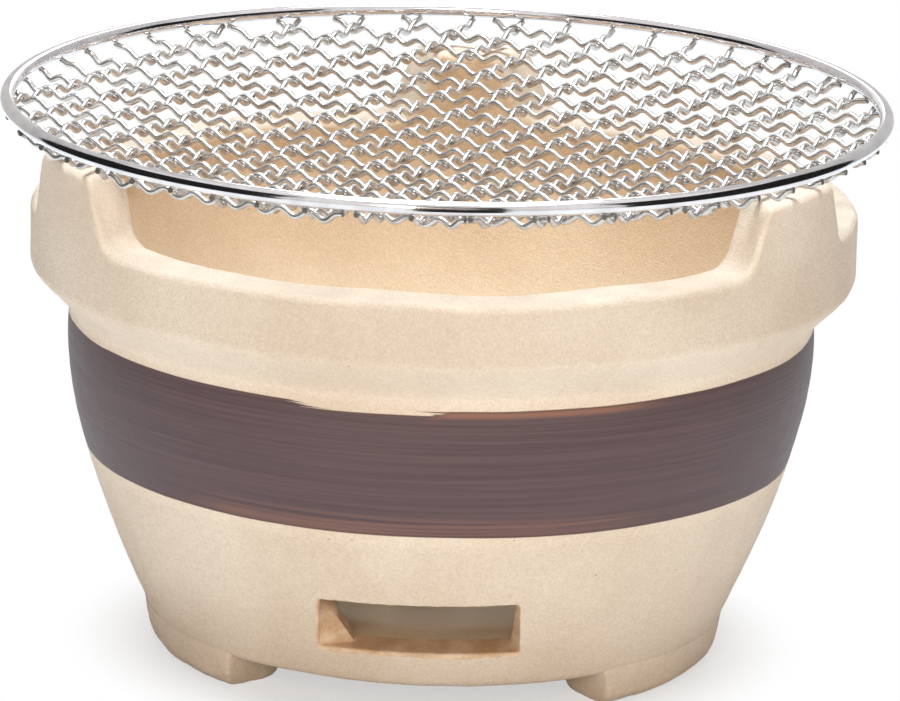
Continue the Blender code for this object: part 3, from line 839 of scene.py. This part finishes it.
def make_body():
    """The body in one piece: rim and walls as one round grid, then the vent cut through."""
    azimuths = column_azimuths()
    rows = [(point.x, np.full_like(azimuths, point.y)) for point in inner_points()]
    rows += rim_rows(azimuths)
    rows += [(point.x, np.full_like(azimuths, point.y)) for point in outer_points()]
    points = []
    for radius, heights in rows:
        points.append(np.stack([radius * np.sin(azimuths), -radius * np.cos(azimuths), heights], axis=1))
    columns = len(azimuths)
    faces = []
    for row in range(len(rows) - 1):
        start = row * columns
        for column in range(columns):
            after = (column + 1) % columns
            faces.append((start + column, start + columns + column, start + columns + after, start + after))
    mesh = mesh_from_arrays("clay_body_shell", np.concatenate(points), faces)
    weld(mesh)
    body = add_object("clay_body_shell", mesh, [CLAY, PAINTED_CLAY, CUT_CLAY])
    for scale, amount in BODY_UNEVENNESS:
        roughened(mesh, scale, amount)
    for face in mesh.polygons:
        centre = face.center
        distance = math.hypot(centre.x, centre.y)
        in_band = BAND_BOTTOM - BAND_MARGIN < centre.z < BAND_TOP + BAND_MARGIN
        if in_band and distance > outer_wall_radius(min(centre.z, WALL_TOP)) - BAND_MARGIN:
            face.material_index = 1
    cutter = make_vent_cutter()
    cut = body.modifiers.new("vent", "BOOLEAN")
    cut.operation = "DIFFERENCE"
    cut.solver = "EXACT"
    cut.object = cutter
    cut.material_mode = "TRANSFER"
    baked(body)
    bpy.data.objects.remove(cutter)
    shade_round(body.data)
    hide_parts("clay_body")
    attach(body, "body")


# Feet and fire grate

def remeshed(obj, voxel, smoothing):
    """Turn an object's mesh into an even, softened one."""
    remesh = obj.modifiers.new("even", "REMESH")
    remesh.mode = "VOXEL"
    remesh.voxel_size = voxel
    smooth = obj.modifiers.new("soften", "SMOOTH")
    smooth.factor = 0.5
    smooth.iterations = smoothing
    baked(obj)


def make_foot(node):
    """A foot pressed on by hand, from the solid's own shape."""
    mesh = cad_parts[node].data.copy()
    low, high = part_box(node)
    middle = math.atan2(low.x + high.x, -low.y - high.y)
    for vertex in mesh.vertices:
        x, y, z = vertex.co
        distance = math.hypot(x, y)
        azimuth = math.atan2(x, -y)
        if z < BODY_BOTTOM - 2 * FIT_GAP:
            toe = (distance - BASE_RADIUS) / FOOT_TOE_WIDTH + 1
            distance += FOOT_TOE_FULLNESS * min(max(toe, 0.0), 1.0)
        elif distance > BASE_RADIUS - BASE_ROUNDING:
            z = BODY_BOTTOM + FOOT_LUTE_HEIGHT
            distance = outer_wall_radius(z) + FOOT_LUTE_PROUD
        else:
            z = BODY_BOTTOM + FIT_GAP
        if abs(middle) < math.pi / 2:
            share = min(max((abs(middle) - abs(azimuth)) / FOOT_HALF_ANGLE, 0.0), 1.0)
            azimuth += math.copysign(FOOT_FRONT_TRIM * share, middle)
        vertex.co = (distance * math.sin(azimuth), -distance * math.cos(azimuth), z)
    foot = add_object(node + "_pressed", mesh, [CLAY])
    remeshed(foot, FOOT_VOXEL, FOOT_SMOOTHING)
    for scale, amount in FOOT_UNEVENNESS:
        roughened(foot.data, scale, amount)
    for vertex in foot.data.vertices:
        vertex.co.z = max(vertex.co.z, 0.0)
    foot.data.materials.clear()
    foot.data.materials.append(CLAY)
    foot.data.shade_smooth()
    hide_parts(node)
    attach(foot, "body")


def make_grate():
    """The fire grate with its draught holes."""
    bm = bmesh.new()
    middle = Matrix.Translation((0, 0, (GRATE_LOW.z + GRATE_HIGH.z) / 2))
    bmesh.ops.create_cone(bm, cap_ends=True, segments=GRATE_SEGMENTS, radius1=GRATE_RADIUS,
                          radius2=GRATE_RADIUS, depth=GRATE_THICKNESS, matrix=middle)
    plate = bpy.data.meshes.new("fire_grate_plate")
    bm.to_mesh(plate)
    bm.free()
    grate = add_object("fire_grate_plate", plate, [GRATE_CLAY])
    holes = bmesh.new()
    for count, ring_radius in GRATE_RINGS:
        for i in range(count):
            angle = math.tau * i / count
            aside = Vector((ring_radius * math.cos(angle), ring_radius * math.sin(angle), 0))
            bmesh.ops.create_cone(holes, cap_ends=True, segments=HOLE_SEGMENTS, radius1=GRATE_HOLE_RADIUS,
                                  radius2=GRATE_HOLE_RADIUS, depth=GRATE_THICKNESS * 2,
                                  matrix=middle @ Matrix.Translation(aside))
    hole_mesh = bpy.data.meshes.new("grate_holes")
    holes.to_mesh(hole_mesh)
    holes.free()
    cutter = add_object("grate_holes", hole_mesh, [GRATE_CLAY])
    cut = grate.modifiers.new("holes", "BOOLEAN")
    cut.operation = "DIFFERENCE"
    cut.solver = "EXACT"
    cut.object = cutter
    baked(grate)
    bpy.data.objects.remove(cutter)
    remeshed(grate, GRATE_VOXEL, GRATE_SMOOTHING)
    for scale, amount in GRATE_UNEVENNESS:
        roughened(grate.data, scale, amount)
    grate.data.materials.clear()
    grate.data.materials.append(GRATE_CLAY)
    grate.data.shade_smooth()
    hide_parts("fire_grate")
    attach(grate, "grate")


# Cooking net

def swept(name, centres, side, radius, sides, closed=False):
    """A round tube along points; its sides are measured from a side vector that all sections share."""
    centres = np.array(centres)
    if closed:
        tangents = np.roll(centres, -1, axis=0) - np.roll(centres, 1, axis=0)
    else:
        tangents = np.gradient(centres, axis=0)
    tangents /= np.linalg.norm(tangents, axis=1)[:, None]
    side = np.broadcast_to(np.array(side), centres.shape)
    up = np.cross(tangents, side)
    up /= np.linalg.norm(up, axis=1)[:, None]
    angles = (np.arange(sides) * math.tau / sides)[None, :, None]
    offsets = side[:, None, :] * np.cos(angles) + up[:, None, :] * np.sin(angles)
    points = (centres[:, None, :] + radius * offsets).reshape(-1, 3)
    count = len(centres)
    faces = []
    for ring in range(count if closed else count - 1):
        first = ring * sides
        second = (ring + 1) % count * sides
        for i in range(sides):
            after = (i + 1) % sides
            faces.append((first + i, first + after, second + after, second + i))
    if not closed:
        faces.append(tuple(range(sides))[::-1])
        faces.append(tuple(range((count - 1) * sides, count * sides)))
    mesh = mesh_from_arrays(name, points, faces)
    faced_outwards(mesh)
    return mesh


def net_surface(distance):
    """Height of the net's middle surface at a distance from its centre."""
    share = np.minimum(distance / HOOP_RADIUS, 1.0)
    return HOOP_HEIGHT - NET_EDGE_DROP - NET_SAG * (1 - share * share)


def make_wire(node, place, crossing_offset, first_side, turn):
    """One crimped wire: it passes over and under at the crossings, with two more bends between."""
    reach = math.sqrt((HOOP_HIGH.x - NET_WIRE_END_INSET) ** 2 - place ** 2)
    steps = math.ceil(2 * reach / (NET_PITCH / WIRE_STEPS_PER_PITCH))
    along = np.linspace(-reach, reach, steps + 1)
    crimp = np.cos(CRIMPS_PER_PITCH * math.pi * (along - crossing_offset) / NET_PITCH)
    height = net_surface(np.hypot(along, place)) + first_side * NET_CRIMP_HEIGHT * crimp
    rise = np.clip((np.abs(along) - reach) / NET_END_RISE_LENGTH + 1, 0, 1)
    rise = rise * rise * (3 - 2 * rise)
    welded = HOOP_HEIGHT - HOOP_WIRE_RADIUS - NET_WIRE_RADIUS
    height = height + (welded - height) * rise
    direction = np.array([math.cos(turn), math.sin(turn), 0.0])
    across = np.array([-math.sin(turn), math.cos(turn), 0.0])
    centres = along[:, None] * direction + place * across
    centres[:, 2] = height
    mesh = swept(node + "_crimped", centres, across, NET_WIRE_RADIUS, WIRE_SIDES)
    wire = add_object(node + "_crimped", mesh, [WIRE_STEEL, WIRE_CUT_FACE])
    mesh.shade_smooth()
    for face in mesh.polygons[-2:]:
        face.material_index = 1
        face.use_smooth = False
    mesh.set_sharp_from_angle(angle=WIRE_SHARP_ANGLE)
    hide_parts(node)
    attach(wire, "cooking_net")


def wire_places(offset):
    """Distances of one family's wires from the net's centre, with their counts from it."""
    limit = HOOP_RADIUS - NET_SIDE_CLEARANCE
    count = math.ceil(limit / NET_PITCH) + 1
    places = [(i, offset + i * NET_PITCH) for i in range(-count, count + 1)]
    return [(i, place) for i, place in places if abs(place) < limit]


def make_net():
    """The hoop and the two families of wires."""
    angles = np.arange(HOOP_SEGMENTS) * math.tau / HOOP_SEGMENTS
    centres = np.stack([HOOP_RADIUS * np.cos(angles), HOOP_RADIUS * np.sin(angles),
                        np.full_like(angles, HOOP_HEIGHT)], axis=1)
    mesh = swept("net_hoop", centres, (0.0, 0.0, 1.0), HOOP_WIRE_RADIUS, HOOP_SIDES, closed=True)
    hoop = add_object("net_hoop", mesh, [HOOP_STEEL])
    mesh.shade_smooth()
    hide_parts("net_rim")
    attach(hoop, "cooking_net")
    for number, (i, place) in enumerate(wire_places(WARP_OFFSET), 1):
        first_side = 1 if i % 2 == 1 else -1
        make_wire(f"net_warp_wire_{number:02d}", place, WEFT_OFFSET, first_side, NET_TURN)
    for number, (i, place) in enumerate(wire_places(-WEFT_OFFSET), 1):
        first_side = 1 if i % 2 == 0 else -1
        make_wire(f"net_weft_wire_{number:02d}", place, WARP_OFFSET, first_side, NET_TURN + math.pi / 2)


# Floor, lights and camera

def make_floor():
    """A white floor that turns into the white background away from the grill."""
    bpy.ops.mesh.primitive_circle_add(vertices=FLOOR_SIDES, radius=FLOOR_RADIUS, fill_type="NGON")
    floor = bpy.context.object
    floor.name = "studio_floor"
    material, tree, shader, place = new_material("white_floor")
    shader.inputs["Base Color"].default_value = (FLOOR_SHADE, FLOOR_SHADE, FLOOR_SHADE, 1.0)
    shader.inputs["Roughness"].default_value = 0.9
    distance = add_node(tree, "ShaderNodeVectorMath", {0: place}, operation="LENGTH").outputs["Value"]
    seen = add_node(tree, "ShaderNodeLightPath").outputs["Is Camera Ray"]
    away = ramp(tree, distance, FLOOR_FADE_START, FLOOR_FADE_END, FLOOR_NEAR_SHARE, 1.0)
    white = add_node(tree, "ShaderNodeEmission", {"Color": WHITE, "Strength": 1.0})
    share = maths(tree, "MULTIPLY", seen, away)
    mix = add_node(tree, "ShaderNodeMixShader", {0: share, 1: shader.outputs[0], 2: white.outputs[0]})
    output = tree.nodes["Material Output"]
    tree.links.new(mix.outputs[0], output.inputs["Surface"])
    floor.data.materials.append(material)


def make_world(level):
    """An even pale surround, white where the camera and the metal see it."""
    world = bpy.data.worlds.new("studio")
    bpy.context.scene.world = world
    world.use_nodes = True
    tree = world.node_tree
    background = tree.nodes["Background"]
    background.inputs["Color"].default_value = WHITE
    path = add_node(tree, "ShaderNodeLightPath")
    clear = maths(tree, "MAXIMUM", path.outputs["Is Camera Ray"], path.outputs["Is Glossy Ray"])
    clear = maths(tree, "MAXIMUM", clear, path.outputs["Is Transmission Ray"])
    strength = add_node(tree, "ShaderNodeMix", {0: clear, 2: level, 3: 1.0}).outputs[0]
    tree.links.new(strength, background.inputs["Strength"])


def add_lamp(name, place, target, size, power, colour):
    """A square soft light."""
    lamp = bpy.data.lights.new(name, "AREA")
    lamp.shape = "SQUARE"
    lamp.size = size
    lamp.energy = power
    lamp.color = colour
    obj = bpy.data.objects.new(name, lamp)
    bpy.context.scene.collection.objects.link(obj)
    obj.location = place
    obj.rotation_euler = (Vector(target) - Vector(place)).to_track_quat("-Z", "Y").to_euler()


def add_card(name, distance, first_azimuth, last_azimuth, low, high, shade):
    """A card beside the grill that shows in reflections alone; its azimuths start from the camera's."""
    points = []
    for column in range(CARD_COLUMNS + 1):
        turned = first_azimuth + (last_azimuth - first_azimuth) * column / CARD_COLUMNS
        azimuth = CAMERA_HEADING + math.radians(turned)
        for elevation in (low, high):
            height = HOOP_HEIGHT + distance * math.tan(math.radians(elevation))
            points.append((distance * math.sin(azimuth), -distance * math.cos(azimuth), height))
    faces = [(2 * i, 2 * i + 2, 2 * i + 3, 2 * i + 1) for i in range(CARD_COLUMNS)]
    material, tree, shader, place = new_material(name + "_cloth")
    weave = noise_at(tree, place, 60.0, 2.0, 0.5)
    dark = (0.9 * shade, 0.85 * shade, 0.85 * shade, 1.0)
    tree.links.new(mixed(tree, weave, dark, (shade, shade, shade, 1.0)), shader.inputs["Base Color"])
    shader.inputs["Roughness"].default_value = 1.0
    shader.inputs["Specular IOR Level"].default_value = 0.0
    card = add_object(name, mesh_from_arrays(name, points, faces), [material])
    card.visible_camera = False
    card.visible_diffuse = False
    card.visible_shadow = False
    card.visible_transmission = False
    card.visible_volume_scatter = False


def make_camera():
    """The photograph's view."""
    camera = bpy.data.objects.new("camera", bpy.data.cameras.new("camera"))
    bpy.context.scene.collection.objects.link(camera)
    camera.data.lens = CAMERA_LENS
    camera.data.sensor_width = SENSOR_WIDTH
    camera.data.clip_end = CAMERA_CLIP_END
    camera.location = CAMERA_PLACE
    level = math.cos(CAMERA_PITCH)
    forward = Vector((-level * math.sin(CAMERA_HEADING), level * math.cos(CAMERA_HEADING),
                      math.sin(CAMERA_PITCH)))
    camera.rotation_mode = "QUATERNION"
    camera.rotation_quaternion = forward.to_track_quat("-Z", "Y") @ Quaternion((0, 0, 1), CAMERA_ROLL)
    bpy.context.scene.camera = camera


make_body()
for foot_node in ("foot_front_left", "foot_front_right", "foot_back"):
    make_foot(foot_node)
make_grate()
make_net()
make_floor()
make_world(WORLD_LEVEL)

# Lamps: place, target, size, power and colour
add_lamp("overhead", (0.0, 0.0, 1.9), (0, 0, 0.1), 1.0, 51.0, (0.84, 0.94, 1.0))
add_lamp("front", (0.0, -2.3, 0.9), (0, 0, 0.06), 0.9, 27.0, (1.0, 0.91, 0.77))
add_lamp("left", (-1.9, -0.9, 0.9), (0, 0, 0.08), 1.0, 1.0, (0.5, 0.7, 1.0))
add_lamp("right", (1.9, -1.0, 0.9), (0, 0, 0.08), 1.0, 2.5, (1.0, 0.65, 0.45))
add_lamp("back", (0.0, 2.3, 1.0), (0, 0, 0.06), 1.0, 12.0, (1.0, 0.97, 0.93))

# Cards: distance, first and last azimuth, lowest and highest elevation, and shade
add_card("dark_card_left", CARD_DISTANCE, -111.0, -36.5, -15.0, 40.0, 0.02)
add_card("dark_card_front", NEAR_CARD_DISTANCE, -6.0, 12.5, -28.0, 26.0, 0.03)
add_card("dark_card_right", CARD_DISTANCE, 40.0, 112.0, -15.0, 40.0, 0.02)
add_card("grey_card_left", CARD_DISTANCE, -170.0, -111.5, -12.0, 60.0, 0.60)
add_card("grey_card_right", CARD_DISTANCE, 112.5, 170.0, -12.0, 60.0, 0.60)

make_camera()
bpy.context.scene.view_settings.view_transform = "Standard"
